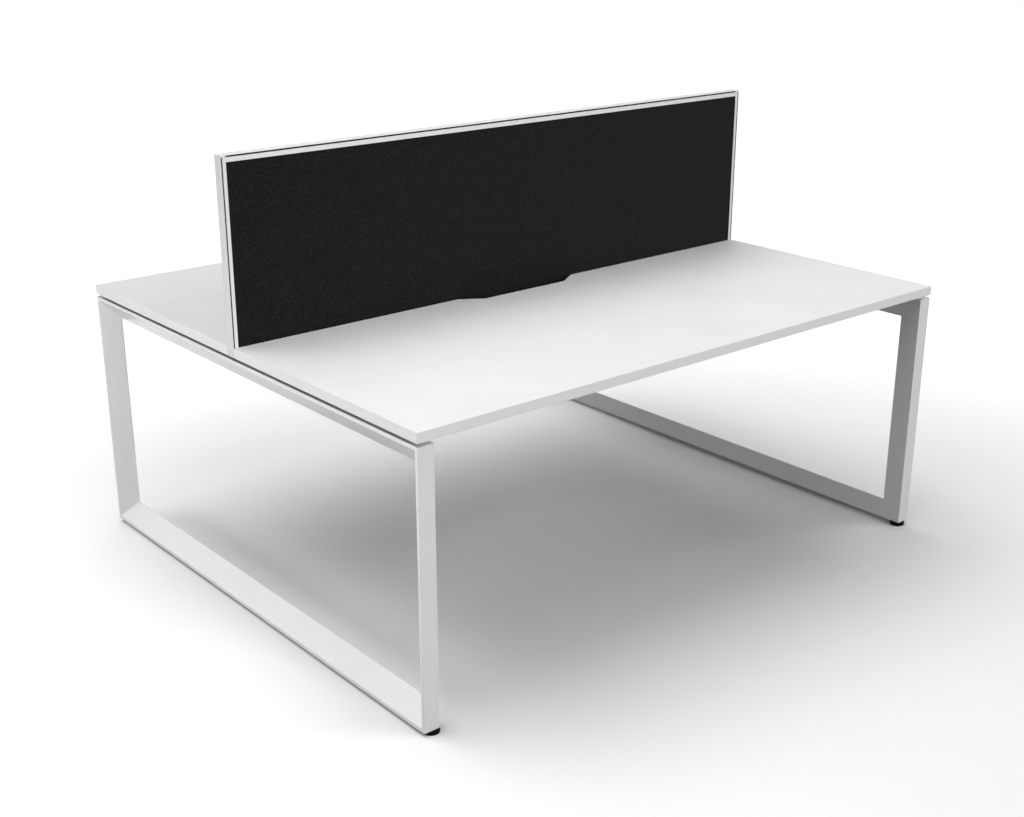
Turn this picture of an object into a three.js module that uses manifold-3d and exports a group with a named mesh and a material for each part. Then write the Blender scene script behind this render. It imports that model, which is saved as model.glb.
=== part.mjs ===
// Benching desk for two: two worktops back to back on a pair of loop end frames,
// with a fabric screen standing in the gap between them.
// Millimetres, +Z up, +X along the desk, origin on the floor under its centre.

import * as THREE from 'three';
import { mergeVertices } from 'three/addons/utils/BufferGeometryUtils.js';
import Module from 'manifold-3d';

const wasm = await Module();
wasm.setup();

// Worktops
const deskLength = 1800;
const topDepth = 750;
const topSpacing = 30; // from one worktop's inner edge to the other's
const topHeight = 730; // floor to working surface
const topThickness = 25;
const bandThickness = 2;
const notchMouth = 415; // cable notch, along the inner edge
const notchFloor = 288;
const notchDepth = 41;
const notchRadius = 12;

// Loop end frames, of a tapered tube that is narrow outside and wide inside
const shadowGap = 8.3; // worktop underside to frame top
const frameInset = 1; // frame in from the worktops' ends and outer edges
const sectionWidth = 43.5;
const sectionOuter = 9;
const sectionInner = 62.5; // to the sharp corner, before rounding
const sectionWall = 2;
const ridgeRadius = 2.5; // the sharp inside edge of the loop
const edgeRadius = 0.8; // the tube's other three edges
const boreRadius = 1;

// Levelling feet
const footHeight = 10.5; // floor to frame underside, foot screwed home
const footInset = 29.5; // stud axis in from the frame's outside face
const footSetback = 14; // stud axis in from the frame's front or rear
const padDiameter = 41;
const padEdge = 0.8;
const padFloor = 3; // plastic under the stud
const studDiameter = 8;
const studLength = 46;
const studTip = 1;
const nutFlats = 13;
const nutHeight = 6.5;

// Beams under the worktops and their end brackets
const beamHeight = 50;
const beamWidth = 30;
const beamWall = 2;
const frontBeamInset = 200; // beam centre from the worktop's front edge
const innerBeamInset = 150; // beam centre from the worktop's inner edge
const bracketThickness = 4;
const bracketWidth = 64;
const bracketDrop = 8; // bracket plate below the beam
const spigotLength = 60;
const spigotWall = 2.5;

// Screen
const screenHeight = 495;
const grooveDepth = 5;
const railFlange = 2;
const railGroove = 4;
const railBody = 11.5;
const postFlange = 1.5;
const postGroove = 3.5;
const postBody = 9;
const sillBody = 9;
const webThickness = 3;
const lipThickness = 1.5;
const fabricThickness = 1.2;

// Bridge plates that carry the screen and tie the worktops, and their bolts
const bridgeSpacing = 1100;
const bridgeLength = 200;
const bridgeWidth = 60;
const bridgeThickness = 5;
const boltSpacing = 36;
const boltDiameter = 6;
const boltHeadDiameter = 11;
const boltHeadHeight = 3.5;
const boltHeadEdge = 1.2;

// Clearances
const seatGap = 0.3; // between pieces that rest on, or are bolted or welded to, each other
const glueGap = 0.1; // glue line behind an edge band
const weldGap = 0.2; // each tube back from its mitre plane
const studGap = 0.3; // round a stud in its nut, its pad and its hole
const boltGap = 0.3; // round a bolt in its hole
const spigotGap = 0.3; // round a spigot in its beam
const screenGap = 0.5; // each side of the screen, to the worktops

const roundSides = 32;
const filletSteps = 3;

// Places that follow from the sizes
const frontEdge = -(topSpacing / 2 + topDepth);
const innerEdge = -topSpacing / 2;
const topUnderside = topHeight - topThickness;
const frameDepth = 2 * (topDepth - frameInset) + topSpacing;
const frameTop = topUnderside - shadowGap;
const frameHeight = frameTop - footHeight;
const frameInner = deskLength / 2 - frameInset - sectionWidth;
const beamTop = topUnderside - seatGap;
const screenThickness = topSpacing - 2 * screenGap;
const screenTop = topUnderside + screenHeight;
const railWidth = railFlange + railGroove + railBody;
const postWidth = postFlange + postGroove + postBody;
const railLength = deskLength - 2 * (postWidth + seatGap);

const finish = {
  melamine: { color: 0xf1f1ef, roughness: 0.45, metalness: 0 },
  edgeBand: { color: 0xf3f3f1, roughness: 0.4, metalness: 0 },
  powderCoat: { color: 0xefefee, roughness: 0.5, metalness: 0 },
  coatedAluminium: { color: 0xeeeeed, roughness: 0.4, metalness: 0.1 },
  coreBoard: { color: 0xb9a88c, roughness: 0.9, metalness: 0 },
  fabric: { color: 0x202022, roughness: 0.95, metalness: 0 },
  blackNylon: { color: 0x131313, roughness: 0.55, metalness: 0 },
  zincSteel: { color: 0xb4b7ba, roughness: 0.35, metalness: 1 },
};

const along = {
  x: new THREE.Vector3(1, 0, 0),
  y: new THREE.Vector3(0, 1, 0),
  z: new THREE.Vector3(0, 0, 1),
};

function addPiece(parent, name, geometry, look, position = [0, 0, 0], turn = [0, 0, 0]) {
  const mesh = new THREE.Mesh(geometry, new THREE.MeshStandardMaterial(look));
  mesh.name = name;
  mesh.position.set(...position);
  mesh.rotation.set(...turn);
  parent.add(mesh);
}

function toSolid(geometry) {
  const bare = geometry.clone();
  bare.deleteAttribute('normal');
  bare.deleteAttribute('uv');
  const merged = mergeVertices(bare);
  const vertProperties = Float32Array.from(merged.attributes.position.array);
  const triVerts = Uint32Array.from(merged.index.array);
  return new wasm.Manifold(new wasm.Mesh({ numProp: 3, vertProperties, triVerts }));
}

function toGeometry(solid) {
  const mesh = solid.getMesh();
  const geometry = new THREE.BufferGeometry();
  geometry.setAttribute('position', new THREE.BufferAttribute(mesh.vertProperties, 3));
  geometry.setIndex(new THREE.BufferAttribute(mesh.triVerts, 1));
  geometry.computeVertexNormals();
  return geometry;
}

function cut(geometry, tools) {
  return toGeometry(tools.reduce((solid, tool) => solid.subtract(toSolid(tool)), toSolid(geometry)));
}

function join(first, second) {
  return toGeometry(toSolid(first).add(toSolid(second)));
}

function outline(points) {
  return new THREE.Shape(points.map(([x, y]) => new THREE.Vector2(x, y)));
}

function rectangle(width, height) {
  const [x, y] = [width / 2, height / 2];
  return outline([[-x, -y], [x, -y], [x, y], [-x, y]]);
}

// The points of a rounded corner: a tangent curve between the two lines that meet there.
function roundCorner(before, corner, after, radius) {
  const toBefore = before.clone().sub(corner).normalize();
  const toAfter = after.clone().sub(corner).normalize();
  const reach = radius / Math.tan(toBefore.angleTo(toAfter) / 2);
  const start = corner.clone().addScaledVector(toBefore, reach);
  const end = corner.clone().addScaledVector(toAfter, reach);
  return new THREE.QuadraticBezierCurve(start, corner, end).getPoints(filletSteps);
}

function roundedOutline(corners, radii) {
  const count = corners.length;
  const points = corners.flatMap((corner, i) => {
    return roundCorner(corners[(i + count - 1) % count], corner, corners[(i + 1) % count], radii[i]);
  });
  return new THREE.Shape(points);
}

// An open line moved sideways to its right by a distance, with mitred corners.
function offsetLine(points, distance) {
  const last = points.length - 1;
  return points.map((point, i) => {
    const into = point.clone().sub(points[Math.max(i - 1, 0)]).normalize();
    const out = points[Math.min(i + 1, last)].clone().sub(point).normalize();
    const mean = into.clone().add(out).normalize();
    const reach = distance / Math.max(mean.dot(into), mean.dot(out));
    return new THREE.Vector2(point.x + mean.y * reach, point.y - mean.x * reach);
  });
}

// A section drawn in (across, inward), carried equally both ways along the third direction.
function bar(section, length, across, inward) {
  const geometry = new THREE.ExtrudeGeometry(section, { depth: length, bevelEnabled: false });
  geometry.translate(0, 0, -length / 2);
  const lengthwise = across.clone().cross(inward);
  return geometry.applyMatrix4(new THREE.Matrix4().makeBasis(across, inward, lengthwise));
}

function slab(section, thickness) {
  return new THREE.ExtrudeGeometry(section, { depth: thickness, bevelEnabled: false });
}

// A turned piece about Z, from (radius, height) points.
function turned(points) {
  const profile = points.map(([radius, height]) => new THREE.Vector2(radius, height));
  return new THREE.LatheGeometry(profile, roundSides).rotateX(Math.PI / 2);
}

function drill(diameter, length, position, axis = along.z) {
  const geometry = new THREE.CylinderGeometry(diameter / 2, diameter / 2, length, roundSides);
  const turn = new THREE.Quaternion().setFromUnitVectors(along.y, axis);
  return geometry.applyQuaternion(turn).translate(...position);
}

// Frame tube section: x from the loop's outside face to its inside face, y from its outline inward.
function sectionCorners(inset) {
  const slope = (sectionInner - sectionOuter) / sectionWidth;
  const slant = (x) => sectionOuter + slope * x - inset * Math.hypot(1, slope);
  const far = sectionWidth - inset;
  return [[inset, inset], [far, inset], [far, slant(far)], [inset, slant(inset)]].map(([x, y]) => {
    return new THREE.Vector2(x, y);
  });
}

// A length of frame tube along Z. Its ends are sheared to 45 degree mitres, so a point that lies
// deeper in the loop ends sooner by the same amount.
function mitredTube(span) {
  const section = roundedOutline(sectionCorners(0), [edgeRadius, edgeRadius, ridgeRadius, edgeRadius]);
  section.holes.push(roundedOutline(sectionCorners(sectionWall), Array(4).fill(boreRadius)));
  const geometry = slab(section, 1);
  const position = geometry.attributes.position;
  for (let i = 0; i < position.count; i += 1) {
    const end = position.getZ(i) > 0 ? 1 : -1;
    position.setZ(i, end * (span / 2 - position.getY(i) - weldGap));
  }
  return geometry;
}

// The bottom rail's outline wall is drilled for the two studs.
function drilledBottomRail() {
  const diameter = studDiameter + 2 * studGap;
  const places = [footPlace(-1), footPlace(1)];
  const holes = places.map(([x, y]) => drill(diameter, 4 * sectionWall, [x, 0, y], along.y));
  return cut(mitredTube(frameDepth), holes);
}

function footPlace(end) {
  return [footInset, end * (frameDepth / 2 - footSetback)];
}

function glidePad() {
  const radius = padDiameter / 2;
  const height = footHeight - seatGap;
  const socket = studDiameter / 2 + studGap;
  return turned([
    [0, 0],
    [radius - padEdge, 0],
    [radius, padEdge],
    [radius, height - padEdge],
    [radius - padEdge, height],
    [socket, height],
    [socket, padFloor],
    [0, padFloor],
  ]);
}

function threadedStud() {
  const radius = studDiameter / 2;
  return turned([
    [0, 0],
    [radius, 0],
    [radius, studLength - studTip],
    [radius - studTip, studLength],
    [0, studLength],
  ]);
}

function weldNut() {
  const corner = nutFlats / Math.sqrt(3);
  const corners = Array.from({ length: 6 }, (_, i) => {
    const angle = (i * Math.PI) / 3;
    return [corner * Math.cos(angle), corner * Math.sin(angle)];
  });
  const section = outline(corners);
  const bore = new THREE.Path().absarc(0, 0, studDiameter / 2 + studGap, 0, 2 * Math.PI);
  section.holes.push(bore);
  return slab(section, nutHeight);
}

// One loop, drawn with its outside face at x = 0 and its inside towards +X.
function endFrame(side, nearName, farName) {
  const frame = new THREE.Group();
  const middle = footHeight + frameHeight / 2;
  const halfDepth = frameDepth / 2;
  const quarter = Math.PI / 2;
  const upright = mitredTube(frameHeight);
  const coat = finish.powderCoat;
  addPiece(frame, `${side}_bottom_rail`, drilledBottomRail(), coat, [0, 0, footHeight], [quarter, 0, 0]);
  addPiece(frame, `${side}_top_rail`, mitredTube(frameDepth), coat, [0, 0, frameTop], [-quarter, 0, 0]);
  addPiece(frame, `${side}_${nearName}_upright`, upright, coat, [0, -halfDepth, middle]);
  addPiece(frame, `${side}_${farName}_upright`, upright, coat, [0, halfDepth, middle], [Math.PI, 0, 0]);
  for (const [end, name] of [[-1, nearName], [1, farName]]) {
    const [x, y] = footPlace(end);
    const studSeat = padFloor + seatGap;
    const nutSeat = footHeight + sectionWall + seatGap;
    addPiece(frame, `${side}_${name}_foot_pad`, glidePad(), finish.blackNylon, [x, y, 0]);
    addPiece(frame, `${side}_${name}_foot_stud`, threadedStud(), finish.zincSteel, [x, y, studSeat]);
    addPiece(frame, `${side}_${name}_foot_nut`, weldNut(), finish.zincSteel, [x, y, nutSeat]);
  }
  return frame;
}

// The worktop's inner edge with its cable notch, from left to right.
function innerEdgeLine() {
  const floor = innerEdge - notchDepth;
  const corners = [
    [-deskLength / 2, innerEdge],
    [-notchMouth / 2, innerEdge],
    [-notchFloor / 2, floor],
    [notchFloor / 2, floor],
    [notchMouth / 2, innerEdge],
    [deskLength / 2, innerEdge],
  ].map(([x, y]) => new THREE.Vector2(x, y));
  const rounded = corners.slice(1, -1).flatMap((corner, i) => {
    return roundCorner(corners[i], corner, corners[i + 2], notchRadius);
  });
  return [corners[0], ...rounded, corners.at(-1)];
}

// One worktop, drawn as the front one: a board with a band glued to each of its four edges.
function worktop(name, leftName, rightName) {
  const top = new THREE.Group();
  const edge = innerEdgeLine();
  const bandBack = bandThickness + glueGap;
  const halfBoard = deskLength / 2 - bandBack;
  const boardEdge = offsetLine(edge, bandBack);
  boardEdge[0].x = -halfBoard;
  boardEdge.at(-1).x = halfBoard;
  const boardFront = frontEdge + bandBack;
  const board = new THREE.Shape([
    new THREE.Vector2(halfBoard, boardFront),
    new THREE.Vector2(-halfBoard, boardFront),
    ...boardEdge,
  ]);
  addPiece(top, `${name}_worktop`, slab(board, topThickness), finish.melamine);

  const innerBand = new THREE.Shape([...edge, ...offsetLine(edge, bandThickness).reverse()]);
  addPiece(top, `${name}_notched_edge_band`, slab(innerBand, topThickness), finish.edgeBand);
  const long = slab(rectangle(deskLength, bandThickness), topThickness);
  addPiece(top, `${name}_outer_edge_band`, long, finish.edgeBand, [0, frontEdge + bandThickness / 2, 0]);
  const short = slab(rectangle(bandThickness, topDepth - 2 * bandBack), topThickness);
  const endPlace = (deskLength - bandThickness) / 2;
  const middle = (frontEdge + innerEdge) / 2;
  addPiece(top, `${name}_${leftName}_edge_band`, short, finish.edgeBand, [-endPlace, middle, 0]);
  addPiece(top, `${name}_${rightName}_edge_band`, short, finish.edgeBand, [endPlace, middle, 0]);
  top.position.z = topUnderside;
  return top;
}

function beamTube() {
  const section = rectangle(beamWidth, beamHeight);
  section.holes.push(rectangle(beamWidth - 2 * beamWall, beamHeight - 2 * beamWall));
  const length = 2 * (frameInner - bracketThickness - 2 * seatGap);
  return bar(section, length, along.y, along.z);
}

// A plate against the rail's inside face, with a hollow spigot on it for the beam to slide over.
function beamBracket() {
  const plateHeight = beamHeight + bracketDrop;
  const plate = new THREE.BoxGeometry(bracketThickness, bracketWidth, plateHeight);
  plate.translate(bracketThickness / 2, 0, -plateHeight / 2);
  const spigotWidth = beamWidth - 2 * (beamWall + spigotGap);
  const spigotHeight = beamHeight - 2 * (beamWall + spigotGap);
  const section = rectangle(spigotWidth, spigotHeight);
  section.holes.push(rectangle(spigotWidth - 2 * spigotWall, spigotHeight - 2 * spigotWall));
  const rooted = bracketThickness / 2;
  const spigot = bar(section, spigotLength + rooted, along.y, along.z);
  spigot.translate(rooted + (spigotLength + rooted) / 2, 0, -beamHeight / 2);
  return join(plate, spigot);
}

// The two beams of one worktop with a bracket at each end, drawn as the front pair.
function beamPair(name, leftName, rightName) {
  const pair = new THREE.Group();
  const coat = finish.powderCoat;
  const places = [
    ['outer', frontEdge + frontBeamInset],
    ['inner', innerEdge - innerBeamInset],
  ];
  for (const [row, y] of places) {
    const bracketPlace = frameInner - seatGap;
    addPiece(pair, `${name}_${row}_beam`, beamTube(), coat, [0, y, beamTop - beamHeight / 2]);
    const left = [-bracketPlace, y, beamTop];
    addPiece(pair, `${name}_${row}_beam_${leftName}_bracket`, beamBracket(), coat, left);
    const right = [bracketPlace, y, beamTop];
    const turn = [0, 0, Math.PI];
    addPiece(pair, `${name}_${row}_beam_${rightName}_bracket`, beamBracket(), coat, right, turn);
  }
  return pair;
}

// Screen frame extrusion in (across, inward): an outer flange, a groove down both sides,
// then a web with two lips that hold the edge of the panel.
function groovedSection(flange, groove, body) {
  const half = screenThickness / 2;
  const neck = half - grooveDepth;
  const channel = half - lipThickness;
  const shoulder = flange + groove;
  const side = [
    [half, 0],
    [half, flange],
    [neck, flange],
    [neck, shoulder],
    [half, shoulder],
    [half, shoulder + body],
    [channel, shoulder + body],
    [channel, shoulder + webThickness],
  ];
  const mirrored = side.map(([across, inward]) => [-across, inward]).reverse();
  return outline([...side, ...mirrored]);
}

function sillSection() {
  const half = screenThickness / 2;
  const channel = half - lipThickness;
  const side = [[half, 0], [half, sillBody], [channel, sillBody], [channel, webThickness]];
  const mirrored = side.map(([across, inward]) => [-across, inward]).reverse();
  return outline([...side, ...mirrored]);
}

function boltPlaces() {
  const places = [];
  for (const side of [-1, 1]) {
    for (const row of [-1, 1]) {
      places.push((side * bridgeSpacing + row * boltSpacing) / 2);
    }
  }
  return places;
}

function screen() {
  const group = new THREE.Group();
  const coat = finish.coatedAluminium;
  const capHeight = railFlange + railGroove;
  const down = along.z.clone().negate();
  const left = along.x.clone().negate();

  const rail = bar(groovedSection(railFlange, railGroove, railBody), railLength, along.y, down);
  addPiece(group, 'screen_top_rail', rail, coat, [0, 0, screenTop]);

  const sillHole = boltDiameter + 2 * boltGap;
  const sillHoles = boltPlaces().map((x) => drill(sillHole, 4 * webThickness, [x, 0, 0]));
  const sill = cut(bar(sillSection(), railLength, along.y, along.z), sillHoles);
  addPiece(group, 'screen_bottom_rail', sill, coat, [0, 0, topUnderside]);

  const postLength = screenHeight - capHeight - seatGap;
  const postMiddle = topUnderside + postLength / 2;
  const postSection = groovedSection(postFlange, postGroove, postBody);
  const leftPost = bar(postSection, postLength, along.y.clone().negate(), along.x);
  const rightPost = bar(postSection, postLength, along.y, left);
  addPiece(group, 'screen_left_post', leftPost, coat, [-deskLength / 2, 0, postMiddle]);
  addPiece(group, 'screen_right_post', rightPost, coat, [deskLength / 2, 0, postMiddle]);

  const capPlace = (deskLength - postWidth) / 2;
  const capMiddle = screenTop - capHeight / 2;
  for (const [name, side] of [['left', -1], ['right', 1]]) {
    const cap = new THREE.BoxGeometry(postWidth, screenThickness, capHeight);
    addPiece(group, `screen_${name}_corner_cap`, cap, coat, [side * capPlace, 0, capMiddle]);
  }

  const panelHalf = deskLength / 2 - postFlange - postGroove - webThickness - seatGap;
  const panelBottom = topUnderside + webThickness + seatGap;
  const panelTop = screenTop - capHeight - webThickness - seatGap;
  const panelHeight = panelTop - panelBottom;
  const panelMiddle = (panelTop + panelBottom) / 2;
  const fabricFace = screenThickness / 2 - lipThickness - seatGap;
  const fabricBack = fabricFace - fabricThickness;
  const core = new THREE.BoxGeometry(2 * panelHalf, 2 * (fabricBack - glueGap), panelHeight);
  addPiece(group, 'screen_core_panel', core, finish.coreBoard, [0, 0, panelMiddle]);
  for (const [name, side] of [['front', -1], ['rear', 1]]) {
    const fabric = new THREE.BoxGeometry(2 * panelHalf, fabricThickness, panelHeight);
    const place = [0, side * (fabricFace + fabricBack) / 2, panelMiddle];
    addPiece(group, `screen_${name}_fabric`, fabric, finish.fabric, place);
  }
  return group;
}

// Bridge plates under both worktops and the screen, bolted up into the screen's bottom rail.
function screenFixings() {
  const group = new THREE.Group();
  const plateTop = topUnderside - seatGap;
  const plateUnderside = plateTop - bridgeThickness;
  const hole = boltDiameter + 2 * boltGap;
  for (const [name, side] of [['left', -1], ['right', 1]]) {
    const flat = slab(rectangle(bridgeWidth, bridgeLength), bridgeThickness);
    const holes = [-1, 1].map((row) => drill(hole, 4 * bridgeThickness, [(row * boltSpacing) / 2, 0, 0]));
    const plate = cut(flat, holes);
    const place = [(side * bridgeSpacing) / 2, 0, plateUnderside];
    addPiece(group, `screen_${name}_bridge_plate`, plate, finish.powderCoat, place);
  }
  const names = ['left_outer', 'left_inner', 'right_inner', 'right_outer'];
  boltPlaces().forEach((x, i) => {
    const place = [x, 0, plateUnderside - seatGap];
    addPiece(group, `screen_bolt_${names[i]}`, bridgeBolt(), finish.zincSteel, place);
  });
  return group;
}

// Button-head bolt, drawn with its head's seat at z = 0, long enough to end level with the web.
function bridgeBolt() {
  const head = boltHeadDiameter / 2;
  const shank = boltDiameter / 2;
  const length = bridgeThickness + 2 * seatGap + webThickness;
  return turned([
    [0, -boltHeadHeight],
    [head - boltHeadEdge, -boltHeadHeight],
    [head, boltHeadEdge - boltHeadHeight],
    [head, 0],
    [shank, 0],
    [shank, length],
    [0, length],
  ]);
}

const desk = new THREE.Group();

const leftFrame = endFrame('left', 'front', 'rear');
leftFrame.position.x = frameInset - deskLength / 2;
const rightFrame = endFrame('right', 'rear', 'front');
rightFrame.position.x = deskLength / 2 - frameInset;
rightFrame.rotation.z = Math.PI;
desk.add(leftFrame, rightFrame);

const frontTop = worktop('front', 'left', 'right');
const rearTop = worktop('rear', 'right', 'left');
rearTop.rotation.z = Math.PI;
desk.add(frontTop, rearTop);

const frontBeams = beamPair('front', 'left', 'right');
const rearBeams = beamPair('rear', 'right', 'left');
rearBeams.rotation.z = Math.PI;
desk.add(frontBeams, rearBeams);

desk.add(screen(), screenFixings());

export default desk;
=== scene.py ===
import math

import bmesh
import bpy
import numpy as np
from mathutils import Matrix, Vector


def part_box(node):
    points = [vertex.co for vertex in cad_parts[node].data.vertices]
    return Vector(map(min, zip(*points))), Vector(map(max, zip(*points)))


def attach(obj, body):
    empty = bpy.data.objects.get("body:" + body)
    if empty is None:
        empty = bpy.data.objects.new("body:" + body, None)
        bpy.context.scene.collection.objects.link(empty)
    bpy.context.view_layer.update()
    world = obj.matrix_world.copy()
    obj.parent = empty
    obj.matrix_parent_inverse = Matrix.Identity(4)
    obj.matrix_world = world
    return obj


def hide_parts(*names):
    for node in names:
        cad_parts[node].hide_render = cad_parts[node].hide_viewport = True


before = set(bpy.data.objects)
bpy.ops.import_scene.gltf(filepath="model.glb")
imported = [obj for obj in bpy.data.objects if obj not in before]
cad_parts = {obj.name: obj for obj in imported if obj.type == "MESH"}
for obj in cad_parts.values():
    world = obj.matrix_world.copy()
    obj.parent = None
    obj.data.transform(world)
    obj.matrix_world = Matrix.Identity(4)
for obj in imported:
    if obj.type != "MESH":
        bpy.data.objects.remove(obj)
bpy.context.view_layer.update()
scene = bpy.context.scene
scene.view_settings.view_transform = "Standard"
mm = 0.001

# Off the near left corner, looking 20 degrees down.
viewpoint = {
    "place": (-2.5046, -2.9818, 1.7775), "tilt": 70, "turn": -40, "lens": 50, "sensor": 36, "reach": 200,
}


def setCamera():
    camera = bpy.data.objects.new("photo_camera", bpy.data.cameras.new("photo_camera"))
    camera.data.lens = viewpoint["lens"]
    camera.data.sensor_width = viewpoint["sensor"]
    camera.data.clip_end = viewpoint["reach"]
    camera.location = viewpoint["place"]
    camera.rotation_euler = (math.radians(viewpoint["tilt"]), 0, math.radians(viewpoint["turn"]))
    scene.collection.objects.link(camera)
    scene.camera = camera


setCamera()
print("camera: set")


def linear(code):
    # sRGB hex such as #f0f0ee to the linear colour that a shader takes
    shown = np.array([int(code[i:i + 2], 16) for i in (1, 3, 5)]) / 255
    light = np.where(shown <= 0.04045, shown / 12.92, ((shown + 0.055) / 1.055) ** 2.4)
    return (*light.tolist(), 1.0)


def perMetre(size):
    # the scale at which a pattern's features are about this many millimetres across
    return 1 / (size * mm)


def addNode(tree, kind, inputs, **settings):
    node = tree.nodes.new(kind)
    for name, value in settings.items():
        setattr(node, name, value)
    for name, value in inputs.items():
        if isinstance(value, bpy.types.NodeSocket):
            tree.links.new(value, node.inputs[name])
        else:
            node.inputs[name].default_value = value
    return node


def newMaterial(name):
    material = bpy.data.materials.new(name)
    material.use_nodes = True
    tree = material.node_tree
    tree.nodes.clear()
    return material, tree, addNode(tree, "ShaderNodeTexCoord", {}).outputs["Object"]


def addNoise(tree, place, size, detail, tangle=0.0):
    noise = addNode(tree, "ShaderNodeTexNoise", {
        "Vector": place, "Scale": perMetre(size), "Detail": detail, "Distortion": tangle})
    return noise.outputs["Fac"]


def stretchOver(tree, value, span, ends=(0.0, 1.0)):
    # the values of a pattern within a span, stretched between two ends
    stretched = addNode(tree, "ShaderNodeMapRange", {
        "Value": value, "From Min": span[0], "From Max": span[1], "To Min": ends[0], "To Max": ends[1]})
    return stretched.outputs["Result"]


def mixColours(tree, share, first, second):
    mixed = addNode(tree, "ShaderNodeMix", {
        0: share, 6: linear(first), 7: linear(second)}, data_type="RGBA")
    return mixed.outputs[2]


def addBump(tree, height, look):
    bump = addNode(tree, "ShaderNodeBump", {
        "Height": height, "Strength": look["bump"], "Distance": look["relief"] * mm})
    return bump.outputs["Normal"]


def endTree(tree, inputs):
    surface = addNode(tree, "ShaderNodeBsdfPrincipled", inputs)
    addNode(tree, "ShaderNodeOutputMaterial", {"Surface": surface.outputs["BSDF"]})


# A noise texture's values crowd round 0.5, so these spans of them are stretched into tones and gloss.
noiseSpan = {"tone": (0.35, 0.65), "gloss": (0.3, 0.7)}

# In all the looks below, the sizes of patterns and reliefs are in millimetres.
# Melamine paper pressed against a fine-grained steel plate: an even white with a pearly satin break-up.
melamine = {
    "name": "white_melamine", "pale": "#f2f2f2", "deep": "#eeeeee", "cloud": 160, "grain": 1.6,
    "mottle": 0.3, "relief": 0.010, "bump": 1.0, "gloss": (0.50, 0.58), "shine": 0.25, "stretch": (1, 1, 1),
}
# Extruded ABS tape, scraped and buffed: slightly glossier than the board, with faint lines along it.
edgeBand = {
    "name": "white_abs_edge_band", "pale": "#f2f2f2", "deep": "#eeeeee", "cloud": 90, "grain": 1.2,
    "mottle": 0.3, "relief": 0.008, "bump": 1.0, "gloss": (0.40, 0.48), "shine": 0.35,
    "stretch": (0.1, 0.1, 1),
}
# Polyester powder coat on welded steel tube: glossy, with the low waves called orange peel and a fine
# mottle. The real waves are about 1.5 mm: they are drawn at 5 mm, so that they show.
powderCoat = {
    "name": "white_powder_coat", "pale": "#f0f0f0", "deep": "#eaeaea", "cloud": 120, "grain": 5,
    "mottle": 0.7, "relief": 0.010, "bump": 1.0, "gloss": (0.08, 0.13), "shine": 0.5, "stretch": (1, 1, 1),
}
# Powder-coated aluminium extrusion: smoother than the tube, with faint die lines along its length.
coatedRail = {
    "name": "white_aluminium_rail", "pale": "#e3e3e3", "deep": "#dbdbdb", "cloud": 60, "grain": 1.5,
    "mottle": 0.4, "relief": 0.002, "bump": 1.0, "gloss": (0.26, 0.30), "shine": 0.5,
    "stretch": (0.04, 1, 1),
}
coatedPost = {**coatedRail, "name": "white_aluminium_post", "stretch": (1, 1, 0.04)}


def coatedSurface(look):
    # a pale coat: slow clouds and fine grain shift its white a little, and the grain gives bump and
    # uneven gloss
    material, tree, place = newMaterial(look["name"])
    drawn = addNode(tree, "ShaderNodeMapping", {"Vector": place, "Scale": look["stretch"]})
    cloud = addNoise(tree, drawn.outputs["Vector"], look["cloud"], detail=3.0)
    grain = addNoise(tree, drawn.outputs["Vector"], look["grain"], detail=2.0)
    tone = addNode(tree, "ShaderNodeMix", {0: look["mottle"], 2: cloud, 3: grain})
    shade = stretchOver(tree, tone.outputs[0], noiseSpan["tone"])
    endTree(tree, {
        "Base Color": mixColours(tree, shade, look["pale"], look["deep"]),
        "Roughness": stretchOver(tree, grain, noiseSpan["gloss"], look["gloss"]),
        "Normal": addBump(tree, grain, look), "IOR": 1.5, "Specular IOR Level": look["shine"]})
    return material


# Plain-woven polyester in charcoal: threads over and under, with lighter and darker fibres flecked
# through it. The real thread is about 0.8 mm and a fleck about 1.5 mm: they are drawn at 2.4 and 4 mm, so
# that they show.
screenCloth = {
    "name": "charcoal_woven_polyester", "dark": "#020202", "light": "#1e1e1f", "span": (0.60, 0.93),
    "thread": 2.4, "wander": 0.6, "fleck": 4.0, "yarn": 9, "yarnShare": 0.25, "weaveShare": 0.25,
    "relief": 0.35, "bump": 0.6, "rough": 0.95, "shine": 0.15, "sheen": 0.02, "fuzz": 0.5,
}
waveTurn = 20  # radians that a wave texture turns through in a unit


def wovenCloth(look):
    # bands across and up change places in a checker of threads; its tone is the fleck's value plus shares
    # of the slower yarn and of the weave
    material, tree, place = newMaterial(look["name"])
    thread = perMetre(look["thread"])
    bands = {
        "Vector": place, "Scale": 2 * math.pi * thread / waveTurn, "Distortion": look["wander"], "Detail": 1.0,
    }
    warp = addNode(tree, "ShaderNodeTexWave", bands, bands_direction="X")
    weft = addNode(tree, "ShaderNodeTexWave", bands, bands_direction="Z")
    over = addNode(tree, "ShaderNodeTexChecker", {"Vector": place, "Scale": thread})
    weave = addNode(tree, "ShaderNodeMix", {
        0: over.outputs["Fac"], 2: warp.outputs["Fac"], 3: weft.outputs["Fac"]})
    fleck = addNoise(tree, place, look["fleck"], detail=3.0)
    yarn = addNoise(tree, place, look["yarn"], detail=1.0)
    mottle = addNode(tree, "ShaderNodeMath", {
        0: yarn, 1: look["yarnShare"], 2: fleck}, operation="MULTIPLY_ADD")
    tone = addNode(tree, "ShaderNodeMath", {
        0: weave.outputs[0], 1: look["weaveShare"], 2: mottle.outputs[0]}, operation="MULTIPLY_ADD")
    shade = stretchOver(tree, tone.outputs[0], look["span"])
    endTree(tree, {
        "Base Color": mixColours(tree, shade, look["dark"], look["light"]), "Roughness": look["rough"],
        "Normal": addBump(tree, weave.outputs[0], look), "Specular IOR Level": look["shine"],
        "Sheen Weight": look["sheen"], "Sheen Roughness": look["fuzz"]})
    return material


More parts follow.
